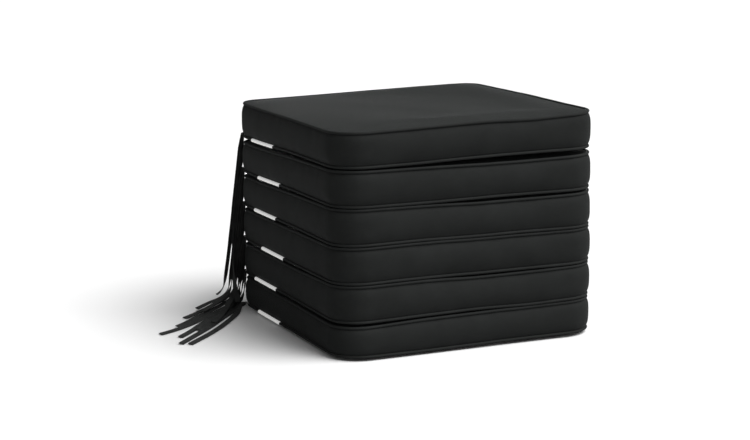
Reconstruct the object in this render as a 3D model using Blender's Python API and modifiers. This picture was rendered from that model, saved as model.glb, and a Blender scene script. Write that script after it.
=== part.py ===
"""Six box-edged chair seat pads in a stack, each with a foam core, a zipped cover and a tie.

The pads lie flat on each other, front edge towards -Y. The origin is the centre of the
bottom pad's underside, where the stack rests, with +Z up. Lengths are in metres.
"""
import math

import bmesh
import bpy
from mathutils import Vector
from mathutils.geometry import interpolate_bezier

# The stack.
PAD_COUNT = 6
REST_GAP = 0.0003

# One pad, measured between the centre lines of its piping.
PAD_WIDTH = 0.400
PAD_DEPTH = 0.400
BOXING_HEIGHT = 0.0466
CROWN = 0.0034
FRONT_RADIUS = 0.045
BACK_RADIUS = 0.027
SMALLEST_RADIUS = 0.004
CORNER_STEPS = 4
BULGE = 0.0025

# Cloth and trim.
FABRIC = 0.0012
CLEARANCE = 0.0003
PIPING_DIAMETER = 0.004
SHOULDER_INSET = 0.016
SHOULDER_RISE = 0.6
CROWN_INSET = 0.050
BOXING_TURN = 0.0010

# The zip in the back of the boxing.
ZIP_LENGTH = 0.300
ZIP_HEIGHT = 0.006
ZIP_THICKNESS = 0.0016
SLIDER_LENGTH = 0.012
SLIDER_HEIGHT = 0.009
SLIDER_THICKNESS = 0.0032
PULL_LENGTH = 0.020
PULL_WIDTH = 0.005
PULL_THICKNESS = 0.0014

# The care label over the left bottom piping: how far it starts above the piping and leans in there,
# how far it hangs below the seam, and its middle along Y on each pad, from the bottom up.
LABEL_WIDTH = 0.090
LABEL_THICKNESS = 0.0006
LABEL_RISE = 0.0012
LABEL_LEAN = 0.0009
LABEL_DROP = 0.0035
LABEL_MIDDLES = (0.081, 0.093, 0.060, 0.089, 0.070, 0.095)

# The tie at the back left corner: a tape folded at its middle, with two tails.
TIE_WIDTH = 0.009
TIE_THICKNESS = 0.0010
TIE_LENGTH = 0.265
TIE_FOLD = 0.0009
TIE_STEP = 0.012
ROOT_BEARING = -45.0
HANG_REACH = 0.010
HANG_LEAN = 0.13
HANG_STEP = 0.040
HANG_BEARINGS = (-38.0, -24.0)
UNDER_TAIL_REACH = -0.0035
UNDER_TAIL_BEARING = 9.0
FLOOR = 0.0008

# Where each tail goes once it stops hanging straight: its reach from the corner, its bearing
# in degrees from -X towards -Y, and its height. The bottom pad's tails lie on the floor.
OVER_TAILS = (
    ((0.010, -30, 0.0042), (0.018, 10, 0.0034), (0.030, 35, 0.0030), (0.048, 47, 0.0024),
     (0.075, 52, FLOOR), (0.110, 53, FLOOR), (0.150, 53, FLOOR), (0.200, 52, FLOOR), (0.285, 50, FLOOR)),
    ((0.0135, -28, 0.022), (0.020, -14, 0.0120), (0.030, 2, 0.0070), (0.046, 14, 0.0038), (0.065, 21, 0.0022),
     (0.090, 27, FLOOR), (0.125, 32, FLOOR), (0.170, 34.5, FLOOR), (0.215, 34, FLOOR), (0.260, 32, FLOOR)),
    ((0.0185, -27, 0.028), (0.023, -22, 0.0165), (0.032, -12, 0.0108), (0.046, 2, 0.0068),
     (0.066, 12, 0.0039), (0.090, 19, 0.0013), (0.120, 25.5, FLOOR), (0.160, 30.5, FLOOR), (0.210, 32, FLOOR)),
    ((0.0250, -26, 0.032), (0.029, -22, 0.0200), (0.040, -13, 0.0122), (0.056, -2, 0.0082),
     (0.078, 8, 0.0044), (0.100, 13.5, 0.0018), (0.125, 19, FLOOR), (0.170, 24, FLOOR)),
    ((0.0320, -25, 0.034), (0.036, -22, 0.0220), (0.046, -16, 0.0142), (0.062, -8, 0.0100),
     (0.082, 0, 0.0056), (0.105, 6, 0.0016), (0.140, 11, FLOOR)),
    ((0.0390, -24, 0.038), (0.043, -22, 0.0270), (0.050, -19, 0.0200), (0.062, -14, 0.0150), (0.080, -8, 0.0120)),
)
UNDER_TAILS = (
    ((0.009, -38, 0.0016), (0.015, -8, FLOOR), (0.025, 17, FLOOR), (0.041, 33, FLOOR),
     (0.068, 41.5, FLOOR), (0.105, 45, FLOOR), (0.150, 47, FLOOR), (0.200, 47.4, FLOOR), (0.290, 47.4, FLOOR)),
    ((0.0095, -20, 0.021), (0.015, -4, 0.0110), (0.024, 10, 0.0070), (0.038, 21, 0.0038), (0.058, 28, 0.0014),
     (0.085, 33.5, FLOOR), (0.115, 37, FLOOR), (0.150, 40, FLOOR), (0.195, 42.5, FLOOR), (0.290, 43.5, FLOOR)),
    ((0.0158, -20, 0.028), (0.0195, -7, 0.0168), (0.027, 8, 0.0116), (0.040, 22, 0.0082),
     (0.058, 31, 0.0050), (0.080, 38, 0.0030), (0.105, 41.3, 0.0025), (0.140, 43.4, 0.0023), (0.230, 45.2, 0.0022)),
    ((0.0220, -12, 0.034), (0.027, 0, 0.0230), (0.036, 16, 0.0155), (0.050, 28, 0.0112),
     (0.068, 36, 0.0080), (0.090, 41, 0.0054), (0.115, 44.5, 0.0040), (0.170, 47, 0.0038)),
    ((0.0285, -14, 0.036), (0.033, -9, 0.0240), (0.044, -1, 0.0160), (0.060, 7, 0.0112),
     (0.080, 14, 0.0070), (0.100, 18, 0.0044), (0.140, 21, 0.0030)),
    ((0.0250, -8, 0.110), (0.0275, 6, 0.075), (0.032, 24, 0.040), (0.037, 38, 0.0180), (0.042, 44, 0.0095),
     (0.048, 47, 0.0070)),
)


def empty_scene():
    """Removes whatever the scene holds, and makes the object's own collection."""
    for old in list(bpy.data.objects):
        bpy.data.objects.remove(old, do_unlink=True)
    parts = bpy.data.collections.new("seat_pad_stack")
    bpy.context.scene.collection.children.link(parts)
    return parts


def make_material(name, colour, roughness):
    """A plain finish in the part's own colour."""
    material = bpy.data.materials.new(name)
    material.use_nodes = True
    shader = material.node_tree.nodes["Principled BSDF"]
    shader.inputs["Base Color"].default_value = (*colour, 1.0)
    shader.inputs["Roughness"].default_value = roughness
    shader.inputs["Metallic"].default_value = 0.0
    return material


def outline(offset):
    """A pad's outline in plan, moved outwards by offset: four arcs, joined by straight sides."""
    half_width = PAD_WIDTH / 2 + offset
    half_depth = PAD_DEPTH / 2 + offset
    corners = (
        (1, 1, BACK_RADIUS, 0),
        (-1, 1, BACK_RADIUS, 90),
        (-1, -1, FRONT_RADIUS, 180),
        (1, -1, FRONT_RADIUS, 270),
    )
    points = []
    for side_x, side_y, radius, start in corners:
        turn = max(radius + offset, SMALLEST_RADIUS)
        for step in range(CORNER_STEPS + 1):
            angle = math.radians(start + 90 * step / CORNER_STEPS)
            x = side_x * (half_width - turn) + turn * math.cos(angle)
            y = side_y * (half_depth - turn) + turn * math.sin(angle)
            points.append((x, y))
    return points


def seam_inset():
    """How far inside the piping's centre line the cloth edges meet."""
    return PIPING_DIAMETER / 2 + CLEARANCE


def pad_height():
    """From a pad's underside to its top."""
    return BOXING_HEIGHT + 2 * CROWN


def pad_middle(pad):
    """The height of a pad's middle, counting from 0 at the bottom."""
    return pad_height() / 2 + pad * (pad_height() + REST_GAP)


def link(name, mesh, material, parts, place):
    """Puts a finished mesh in the collection as one named object."""
    piece = bpy.data.objects.new(name, mesh)
    piece.location = place
    mesh.materials.append(material)
    parts.objects.link(piece)
    return piece


def loft(name, rings, capped):
    """A skin through rings of equal count, from the bottom up, with its two ends closed or left open."""
    builder = bmesh.new()
    loops = []
    for ring in rings:
        loops.append([builder.verts.new(point) for point in ring])
    for low, high in zip(loops, loops[1:]):
        for here in range(len(low)):
            ahead = (here + 1) % len(low)
            builder.faces.new((low[here], low[ahead], high[ahead], high[here]))
    if capped in ("both", "bottom"):
        builder.faces.new(list(reversed(loops[0])))
    if capped in ("both", "top"):
        builder.faces.new(loops[-1])
    mesh = bpy.data.meshes.new(name)
    builder.to_mesh(mesh)
    builder.free()
    return mesh


def rings_from(profile):
    """Outlines at each (offset, height) of a profile."""
    return [[(x, y, height) for x, y in outline(offset)] for offset, height in profile]


def thicken(piece, thickness):
    """Gives an open skin its thickness, on the inner side."""
    solidify = piece.modifiers.new("cloth", "SOLIDIFY")
    solidify.thickness = thickness
    solidify.offset = -1
    solidify.use_even_offset = True
    return piece


def soften(piece):
    """Shades a round piece smooth, and keeps its real edges sharp."""
    piece.data.shade_smooth()
    piece.data.set_sharp_from_angle(angle=math.radians(40))
    return piece


def crown_profile(drop):
    """A panel's outer face from seam to middle, lowered by drop."""
    seam = BOXING_HEIGHT / 2
    return [
        (-seam_inset(), seam + FABRIC - drop),
        (-SHOULDER_INSET, seam + FABRIC + (CROWN - FABRIC) * SHOULDER_RISE - drop),
        (-CROWN_INSET, seam + CROWN - drop),
    ]


def add_panel(name, side, material, parts, place):
    """The cut panel on one face of a pad: side is 1 on top and -1 underneath."""
    profile = [(offset, side * height) for offset, height in crown_profile(0)]
    if side < 0:
        profile.reverse()
    mesh = loft(name, rings_from(profile), "top" if side > 0 else "bottom")
    return soften(thicken(link(name, mesh, material, parts, place), FABRIC))


def add_boxing(name, material, parts, place):
    """The band round the pad's edge, tucked in at both seams and bulging between them."""
    edge = BOXING_HEIGHT / 2 - CLEARANCE
    turn = edge - seam_inset()
    profile = [
        (-seam_inset(), -edge),
        (-seam_inset() + BOXING_TURN, -turn),
        (BULGE, 0),
        (-seam_inset() + BOXING_TURN, turn),
        (-seam_inset(), edge),
    ]
    mesh = loft(name, rings_from(profile), "none")
    return soften(thicken(link(name, mesh, material, parts, place), FABRIC))


def add_foam(name, material, parts, place):
    """The foam block, which fills the cover with a small clearance all round."""
    shoulder, middle = crown_profile(FABRIC + CLEARANCE)[1:]
    upper = [
        (-seam_inset() - FABRIC - 2 * CLEARANCE, BOXING_HEIGHT / 2 - CLEARANCE),
        shoulder,
        middle,
    ]
    lower = [(offset, -height) for offset, height in reversed(upper)]
    belly = [(BULGE - FABRIC - 2 * CLEARANCE, 0)]
    mesh = loft(name, rings_from(lower + belly + upper), "both")
    return soften(link(name, mesh, material, parts, place))


def add_piping(name, side, material, parts, place):
    """The cord of piping round one seam: a closed curve with a round bevel."""
    curve = bpy.data.curves.new(name, "CURVE")
    curve.dimensions = "3D"
    curve.bevel_depth = PIPING_DIAMETER / 2
    curve.bevel_resolution = 1
    points = outline(0)
    spline = curve.splines.new("POLY")
    spline.points.add(len(points) - 1)
    for point, (x, y) in zip(spline.points, points):
        point.co = (x, y, side * BOXING_HEIGHT / 2, 1)
    spline.use_cyclic_u = True
    curve.materials.append(material)
    piece = bpy.data.objects.new(name, curve)
    piece.location = place
    parts.objects.link(piece)
    return piece


def box_mesh(name, size, middle):
    """A block of the given size about a point."""
    builder = bmesh.new()
    bmesh.ops.create_cube(builder, size=1)
    bmesh.ops.scale(builder, vec=size, verts=builder.verts)
    bmesh.ops.translate(builder, vec=middle, verts=builder.verts)
    mesh = bpy.data.meshes.new(name)
    builder.to_mesh(mesh)
    builder.free()
    return mesh


def zip_back():
    """How far back the zip's inner face lies from a pad's middle."""
    return PAD_DEPTH / 2 + BULGE + CLEARANCE


def add_zip_chain(name, material, parts, place):
    """The closed chain of the zip, along the middle of the back."""
    middle = (0, zip_back() + ZIP_THICKNESS / 2, 0)
    mesh = box_mesh(name, (ZIP_LENGTH, ZIP_THICKNESS, ZIP_HEIGHT), middle)
    piece = link(name, mesh, material, parts, place)
    bevel = piece.modifiers.new("worn_edge", "BEVEL")
    bevel.width = ZIP_THICKNESS / 5
    bevel.segments = 1
    return piece


def add_zip_slider(name, material, parts, place):
    """The slider at the chain's closed end, with its pull hanging from it. Its origin is on the chain."""
    start = Vector(place) + Vector((ZIP_LENGTH / 2 - SLIDER_LENGTH, zip_back() + ZIP_THICKNESS, 0))
    body_middle = (0, CLEARANCE + SLIDER_THICKNESS / 2, 0)
    body_size = (SLIDER_LENGTH, SLIDER_THICKNESS, SLIDER_HEIGHT)
    body = link(name, box_mesh(name, body_size, body_middle), material, parts, start)
    bevel = body.modifiers.new("rounded", "BEVEL")
    bevel.width = SLIDER_THICKNESS / 5
    bevel.segments = 2
    pull_middle = (0, CLEARANCE + SLIDER_THICKNESS - PULL_THICKNESS, -PULL_LENGTH / 2)
    pull_name = name + "_pull"
    pull_mesh = box_mesh(pull_name, (PULL_WIDTH, PULL_THICKNESS, PULL_LENGTH), pull_middle)
    pull = bpy.data.objects.new(pull_name, pull_mesh)
    pull.location = start
    pull.hide_render = True
    pull.display_type = "WIRE"
    cutters().objects.link(pull)
    union = body.modifiers.new("pull", "BOOLEAN")
    union.operation = "UNION"
    union.solver = "EXACT"
    union.object = pull
    return body


def cutters():
    """The collection of shapes that only serve a Boolean."""
    known = bpy.data.collections.get("cutters")
    if known is None:
        known = bpy.data.collections.new("cutters")
        bpy.context.scene.collection.children.link(known)
    return known


def add_label(name, pad, material, parts, place):
    """The care label: a short flap from the seam above the bottom piping, which it hangs down over."""
    seam = -BOXING_HEIGHT / 2
    floor = -place[2] + LABEL_THICKNESS + CLEARANCE
    clear = PIPING_DIAMETER / 2 + CLEARANCE + LABEL_THICKNESS
    rows = (
        (clear - LABEL_LEAN, seam + PIPING_DIAMETER / 2 + LABEL_RISE),
        (clear, seam + PIPING_DIAMETER / 4),
        (clear, seam - LABEL_DROP),
    )
    builder = bmesh.new()
    lines = []
    for reach, height in rows:
        x = -PAD_WIDTH / 2 - reach
        z = max(height, floor)
        ends = (LABEL_MIDDLES[pad] + LABEL_WIDTH / 2, LABEL_MIDDLES[pad] - LABEL_WIDTH / 2)
        lines.append([builder.verts.new((x, y, z)) for y in ends])
    for near, far in zip(lines, lines[1:]):
        builder.faces.new((near[1], near[0], far[0], far[1]))
    mesh = bpy.data.meshes.new(name)
    builder.to_mesh(mesh)
    builder.free()
    return thicken(link(name, mesh, material, parts, place), LABEL_THICKNESS)


def bearing_way(bearing):
    """The level direction at a bearing in degrees from -X towards -Y."""
    angle = math.radians(bearing)
    return Vector((-math.cos(angle), -math.sin(angle), 0))


def tie_corner():
    """The middle of the back left corner, on the piping's centre line, at floor height."""
    inwards = BACK_RADIUS * (1 - math.sqrt(0.5))
    return Vector((-PAD_WIDTH / 2 + inwards, PAD_DEPTH / 2 - inwards, 0))


def fold_reach():
    """How far out from the corner the fold's middle lies, just clear of the piping."""
    return PIPING_DIAMETER / 2 + CLEARANCE + TIE_THICKNESS / 2 + TIE_FOLD


def route_point(reach, bearing, height):
    """The place of one row of a tail's route."""
    return tie_corner() + bearing_way(bearing) * reach + Vector((0, 0, height))


def tail_route(pad, over):
    """The points that a tail passes through, from its fold to past its tip."""
    seam = pad_middle(pad) - BOXING_HEIGHT / 2
    sign = 1 if over else -1
    rows = [(fold_reach(), ROOT_BEARING, seam + sign * TIE_FOLD)]
    last = (OVER_TAILS if over else UNDER_TAILS)[pad]
    if pad > 0:
        out = HANG_REACH if over else HANG_REACH + UNDER_TAIL_REACH
        drop = 0 if over else TIE_THICKNESS
        rows.append(((fold_reach() + out) / 2, ROOT_BEARING, seam + sign * TIE_FOLD - drop))
    depth = HANG_STEP / 2
    while seam - depth > last[0][2] + HANG_STEP / 2:
        share = depth / (PAD_COUNT * pad_height())
        bearing = HANG_BEARINGS[0] + (HANG_BEARINGS[1] - HANG_BEARINGS[0]) * share
        reach = HANG_REACH + HANG_LEAN * max(depth - HANG_STEP / 2, 0)
        if not over:
            reach += UNDER_TAIL_REACH
            bearing += UNDER_TAIL_BEARING * min(1, 2 * share)
        rows.append((reach, bearing, seam - depth))
        depth += HANG_STEP
    rows.extend(last)
    return [route_point(*row) for row in rows]


def smooth_line(points, step):
    """A smooth curve through the points, as points about one step apart."""
    padded = [2 * points[0] - points[1]] + list(points) + [2 * points[-1] - points[-2]]
    line = []
    for before, start, end, after in zip(padded, padded[1:], padded[2:], padded[3:]):
        third = (end - start).length / 3
        leaving = start + (end - before).normalized() * third
        arriving = end - (after - start).normalized() * third
        count = max(1, round(3 * third / step))
        line.extend(interpolate_bezier(start, leaving, arriving, end, count + 1)[:-1])
    return line + [points[-1]]


def cut_to_length(line, length):
    """The start of a line, ended at exactly that length."""
    kept = [line[0]]
    left = length
    for start, end in zip(line, line[1:]):
        gone = (end - start).length
        if gone >= left:
            kept.append(start.lerp(end, left / gone))
            return kept
        kept.append(end)
        left -= gone
    return kept


def tape_side(point, travel):
    """Which way a tail's width lies: level, across its travel, or across its bearing where it hangs."""
    spoke = point - tie_corner()
    spoke.z = 0
    level = Vector((travel.x, travel.y, 0))
    facing = spoke.normalized() * (1 - level.length) + level
    return Vector((0, 0, 1)).cross(facing).normalized()


def tail_sections(pad, over):
    """(point, side) along one tail, from its fold to its tip."""
    line = cut_to_length(smooth_line(tail_route(pad, over), TIE_STEP), TIE_LENGTH)
    sections = []
    for here, point in enumerate(line):
        ahead = line[min(here + 1, len(line) - 1)]
        behind = line[max(here - 1, 0)]
        sections.append((point, tape_side(point, (ahead - behind).normalized())))
    return sections


def fold_sections(pad):
    """(point, side) round the fold that joins the two tails, against the piping."""
    seam = pad_middle(pad) - BOXING_HEIGHT / 2
    outwards = bearing_way(ROOT_BEARING)
    middle = tie_corner() + outwards * fold_reach() + Vector((0, 0, seam))
    side = Vector((0, 0, 1)).cross(outwards)
    sections = []
    for degrees in (60, 0, -60):
        angle = math.radians(degrees)
        turned = Vector((0, 0, math.sin(angle))) - outwards * math.cos(angle)
        sections.append((middle + turned * TIE_FOLD, side))
    return sections


def add_tie(name, pad, material, parts, place):
    """A tape folded in two: flat sections carried along one tail, round the fold and down the other."""
    sections = list(reversed(tail_sections(pad, True))) + fold_sections(pad) + tail_sections(pad, False)
    rings = []
    for here, (point, side) in enumerate(sections):
        ahead = sections[min(here + 1, len(sections) - 1)][0]
        behind = sections[max(here - 1, 0)][0]
        travel = (ahead - behind).normalized()
        across = (side - travel * side.dot(travel)).normalized() * TIE_WIDTH / 2
        through = travel.cross(across).normalized() * TIE_THICKNESS / 2
        middle = point - Vector(place)
        rings.append([middle + a * across + b * through for a, b in ((1, 1), (-1, 1), (-1, -1), (1, -1))])
    mesh = loft(name, rings, "both")
    face_outwards(mesh)
    return link(name, mesh, material, parts, place)


def face_outwards(mesh):
    """Turns every face of a closed mesh to point out."""
    builder = bmesh.new()
    builder.from_mesh(mesh)
    bmesh.ops.recalc_face_normals(builder, faces=builder.faces)
    builder.to_mesh(mesh)
    builder.free()


def build():
    """Makes the six pads, from the bottom up."""
    parts = empty_scene()
    cloth = make_material("charcoal_cloth", (0.020, 0.021, 0.021), 0.85)
    boxing_cloth = make_material("charcoal_boxing_cloth", (0.018, 0.019, 0.019), 0.85)
    piping_cloth = make_material("charcoal_piping", (0.022, 0.023, 0.023), 0.80)
    foam = make_material("foam", (0.80, 0.76, 0.62), 0.95)
    tape = make_material("black_tie_tape", (0.010, 0.010, 0.010), 0.80)
    paper = make_material("white_label", (0.85, 0.85, 0.84), 0.60)
    zip_teeth = make_material("black_zip", (0.012, 0.012, 0.012), 0.45)
    zip_metal = make_material("slider_metal", (0.05, 0.05, 0.05), 0.40)
    for pad in range(PAD_COUNT):
        place = (0, 0, pad_middle(pad))
        name = f"pad_{pad + 1}_"
        add_foam(name + "foam_core", foam, parts, place)
        add_panel(name + "top_panel", 1, cloth, parts, place)
        add_panel(name + "bottom_panel", -1, cloth, parts, place)
        add_boxing(name + "boxing", boxing_cloth, parts, place)
        add_piping(name + "top_piping", 1, piping_cloth, parts, place)
        add_piping(name + "bottom_piping", -1, piping_cloth, parts, place)
        add_zip_chain(name + "zip_chain", zip_teeth, parts, place)
        add_zip_slider(name + "zip_slider", zip_metal, parts, place)
        add_label(name + "care_label", pad, paper, parts, place)
        add_tie(name + "tie", pad, tape, parts, place)


build()
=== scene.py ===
"""A stack of six box-edged seat pads in charcoal cloth, piped, zipped and labelled, with limp ties."""
import math

import bmesh
import bpy
import numpy as np
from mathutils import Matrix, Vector
from mathutils.geometry import interpolate_bezier


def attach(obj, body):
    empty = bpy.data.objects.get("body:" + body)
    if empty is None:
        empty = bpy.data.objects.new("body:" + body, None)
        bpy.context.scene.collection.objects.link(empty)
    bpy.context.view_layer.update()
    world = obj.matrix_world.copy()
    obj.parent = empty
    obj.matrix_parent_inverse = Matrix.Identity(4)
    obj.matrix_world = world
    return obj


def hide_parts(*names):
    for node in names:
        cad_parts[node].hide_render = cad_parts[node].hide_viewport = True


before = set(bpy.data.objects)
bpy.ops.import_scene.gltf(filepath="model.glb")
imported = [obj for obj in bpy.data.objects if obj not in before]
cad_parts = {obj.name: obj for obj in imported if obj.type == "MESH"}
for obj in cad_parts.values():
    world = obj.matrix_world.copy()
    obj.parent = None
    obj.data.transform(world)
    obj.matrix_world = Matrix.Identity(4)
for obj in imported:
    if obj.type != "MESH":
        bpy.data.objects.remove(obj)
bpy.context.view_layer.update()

# The stack and one pad, as the solids have them.
PADS = 6
REST_GAP = 0.0003
PAD_WIDTH = 0.400
PAD_DEPTH = 0.400
BOXING = 0.0466
CROWN = 0.0034
FRONT_RADIUS = 0.045
BACK_RADIUS = 0.027
BULGE = 0.0025
PIPING = 0.004
CLEARANCE = 0.0003
HEIGHT = BOXING + 2 * CROWN

# How the cloth of one cover is laid out as a net.
NET = 75
BAND_ROWS = 13
SEAM_TUCK = 0.0017

# How a cover is filled: its sides bow out in plan, its boxing swells, less so behind the zip,
# and the foam moves no point of the cloth much further than FOAM_PUSH.
SIDE_BOW = 0.0008
SWELL = 0.0045
SWELL_BEHIND = 0.0018
FULLNESS_LAID_OUT = 0.85
FOAM_PRESSURE = 4
FOAM_PUSH = 0.0045
FOAM_FRAMES = 20

# The tie at the back left corner of each pad.
TIE_WIDTH = 0.009
TIE_THICKNESS = 0.0010
TIE_LENGTH = 0.265
TIE_FOLD = 0.0009
TAIL_POINTS = 110
TAIL_SIDES = 18
HANG_TWIST = math.radians(38)
FLOOR_TILT = math.radians(12)
ROOT_BEARING = -45.0
HANG_REACH = 0.010
HANG_LEAN = 0.13
HANG_STEP = 0.040
HANG_BEARINGS = (-38.0, -24.0)
UNDER_TAIL_REACH = -0.0035
UNDER_TAIL_BEARING = 9.0
FLOOR = 0.0008

# Where each tail goes once it stops hanging straight: its reach from the corner, its bearing
# in degrees from -X towards -Y, and its height.
OVER_TAILS = (
    ((0.010, -30, 0.0042), (0.018, 10, 0.0034), (0.030, 35, 0.0030), (0.048, 47, 0.0024),
     (0.075, 52, FLOOR), (0.110, 53, FLOOR), (0.150, 53, FLOOR), (0.200, 52, FLOOR), (0.285, 50, FLOOR)),
    ((0.0135, -28, 0.022), (0.020, -14, 0.0120), (0.030, 2, 0.0070), (0.046, 14, 0.0038), (0.065, 21, 0.0022),
     (0.090, 27, FLOOR), (0.125, 32, FLOOR), (0.170, 34.5, FLOOR), (0.215, 34, FLOOR), (0.260, 32, FLOOR)),
    ((0.0185, -27, 0.028), (0.023, -22, 0.0165), (0.032, -12, 0.0108), (0.046, 2, 0.0068),
     (0.066, 12, 0.0039), (0.090, 19, 0.0013), (0.120, 25.5, FLOOR), (0.160, 30.5, FLOOR),
     (0.210, 32, FLOOR)),
    ((0.0250, -26, 0.032), (0.029, -22, 0.0200), (0.040, -13, 0.0122), (0.056, -2, 0.0082),
     (0.078, 8, 0.0044), (0.100, 13.5, 0.0018), (0.125, 19, FLOOR), (0.170, 24, FLOOR)),
    ((0.0320, -25, 0.034), (0.036, -22, 0.0220), (0.046, -16, 0.0142), (0.062, -8, 0.0100),
     (0.082, 0, 0.0056), (0.105, 6, 0.0016), (0.140, 11, FLOOR)),
    ((0.0390, -24, 0.038), (0.043, -22, 0.0270), (0.050, -19, 0.0200), (0.062, -14, 0.0150),
     (0.080, -8, 0.0120)),
)
UNDER_TAILS = (
    ((0.009, -38, 0.0016), (0.015, -8, FLOOR), (0.025, 17, FLOOR), (0.041, 33, FLOOR),
     (0.068, 41.5, FLOOR), (0.105, 45, FLOOR), (0.150, 47, FLOOR), (0.200, 47.4, FLOOR),
     (0.290, 47.4, FLOOR)),
    ((0.0095, -20, 0.021), (0.015, -4, 0.0110), (0.024, 10, 0.0070), (0.038, 21, 0.0038), (0.058, 28, 0.0014),
     (0.085, 33.5, FLOOR), (0.115, 37, FLOOR), (0.150, 40, FLOOR), (0.195, 42.5, FLOOR),
     (0.290, 43.5, FLOOR)),
    ((0.0158, -20, 0.028), (0.0195, -7, 0.0168), (0.027, 8, 0.0116), (0.040, 22, 0.0082),
     (0.058, 31, 0.0050), (0.080, 38, 0.0030), (0.105, 41.3, 0.0025), (0.140, 43.4, 0.0023),
     (0.230, 45.2, 0.0022)),
    ((0.0220, -12, 0.034), (0.027, 0, 0.0230), (0.036, 16, 0.0155), (0.050, 28, 0.0112),
     (0.068, 36, 0.0080), (0.090, 41, 0.0054), (0.115, 44.5, 0.0040), (0.170, 47, 0.0038)),
    ((0.0285, -14, 0.036), (0.033, -9, 0.0240), (0.044, -1, 0.0160), (0.060, 7, 0.0112),
     (0.080, 14, 0.0070), (0.100, 18, 0.0044), (0.140, 21, 0.0030)),
    ((0.0250, -8, 0.110), (0.0275, 6, 0.075), (0.032, 24, 0.040), (0.037, 38, 0.0180), (0.042, 44, 0.0095),
     (0.048, 47, 0.0070)),
)

# How far each seam stands above its even height, in millimetres, at seven places from the back
# of the left side, round the front left corner, to the front right corner. The bottom pad first.
# Each place is given as a share of the way round, from the back left corner, and so are the three
# places behind, where the seam is eased back to its start.
SEAM_SHARES = (0.035, 0.145, 0.25, 0.315, 0.385, 0.445, 0.495)
BEHIND_SHARES = (0.62, 0.75, 0.88)
TOP_SEAMS = (
    (-3.0, -2.0, -3.5, 0.5, 1.5, 1.0, 3.0),
    (-3.5, -2.5, 1.0, 2.0, -1.0, -1.0, 1.0),
    (-2.5, -0.5, 1.0, 2.0, 0.5, 0.5, -0.5),
    (-4.5, -0.5, 1.5, 0.5, -2.0, -2.0, -1.5),
    (-6.0, -1.0, 1.0, 0.0, -1.0, -1.5, 0.5),
    (0.5, 1.5, 0.0, 2.5, 5.0, 3.5, 7.0),
)
BOTTOM_SEAMS = (
    (2.5, 3.5, 3.0, 2.0, 3.0, 3.0, 3.5),
    (-2.0, -1.0, -2.5, -0.5, 0.5, -1.5, 0.5),
    (-2.5, -2.5, -1.5, -0.5, -1.5, -2.0, -1.5),
    (-2.0, -0.5, -1.5, -0.5, -2.0, -2.0, -3.0),
    (-3.5, -0.5, -1.0, -2.0, -1.5, -1.5, -1.5),
    (-3.5, 0.0, -0.5, 0.5, 3.0, 3.5, 3.5),
)
# The same for the top pad's top seam at the middle of its right side, its back right corner and
# the middle of its back, where the pad is curled up a little.
LIFTED_BACK = (8.5, 7.5, 4.5)

# The labels and the zips.
LABEL_WIDTH = 0.090
LABEL_MIDDLES = (0.081, 0.093, 0.060, 0.089, 0.070, 0.095)
LABEL_THICKNESS = 0.0005
ZIP_LENGTH = 0.300
ZIP_THICKNESS = 0.0016
SLIDER_LENGTH = 0.012
SLIDER_HEIGHT = 0.009
SLIDER_THICKNESS = 0.0032
PULL_LENGTH = 0.020
PULL_WIDTH = 0.005
COIL_PITCH = 0.0015


# ---------------------------------------------------------------- camera and light

def studio_camera():
    """A long lens, low in front of the left corner, turned a little about its own line."""
    yaw, pitch, roll = (math.radians(turn) for turn in (-23.503, 10.682, 0.593))
    target, distance, aside, above = Vector((0, 0, 0.1653)), 2.8836, -0.0562, -0.01247
    sensor, lens = 36, 92.424
    ahead = Vector((-math.sin(yaw) * math.cos(pitch), math.cos(yaw) * math.cos(pitch), -math.sin(pitch)))
    right = Vector((math.cos(yaw), math.sin(yaw), 0))
    up = right.cross(ahead)
    place = target - ahead * distance + right * aside + up * above
    across = right * math.cos(roll) - up * math.sin(roll)
    upwards = right * math.sin(roll) + up * math.cos(roll)
    data = bpy.data.cameras.new("studio_camera")
    data.sensor_width = sensor
    data.lens = lens
    camera = bpy.data.objects.new("studio_camera", data)
    bpy.context.scene.collection.objects.link(camera)
    turn = camera.matrix_world.to_3x3()
    turn.col[0], turn.col[1], turn.col[2] = across, upwards, -ahead
    camera.matrix_world = turn.to_4x4()
    camera.location = place
    bpy.context.scene.camera = camera


def studio_light():
    """A broad high lamp to the front right, a weak low one, a level one behind for the backs of the
    pads, and a pale room all round. Each lamp has its energy, its spread and its turns, in degrees."""
    for name, energy, spread, turn in (
        ("high_lamp", 3.5, 45, (30, 14, 20)),
        ("side_lamp", 0.6, 60, (62, 0, 40)),
        ("back_lamp", 1.0, 4, (-88.5, 0, -9)),
    ):
        data = bpy.data.lights.new(name, "SUN")
        data.energy = energy
        data.angle = math.radians(spread)
        lamp = bpy.data.objects.new(name, data)
        lamp.rotation_euler = [math.radians(v) for v in turn]
        bpy.context.scene.collection.objects.link(lamp)
    world = bpy.data.worlds.new("pale_room")
    world.use_nodes = True
    world.node_tree.nodes["Background"].inputs["Color"].default_value = (1, 1, 1, 1)
    world.node_tree.nodes["Background"].inputs["Strength"].default_value = 0.22
    bpy.context.scene.world = world
    bpy.context.scene.view_settings.view_transform = "Standard"


# ---------------------------------------------------------------- meshes from arrays

def link(name, mesh):
    """A finished mesh as an object at the origin."""
    piece = bpy.data.objects.new(name, mesh)
    bpy.context.scene.collection.objects.link(piece)
    return piece


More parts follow.
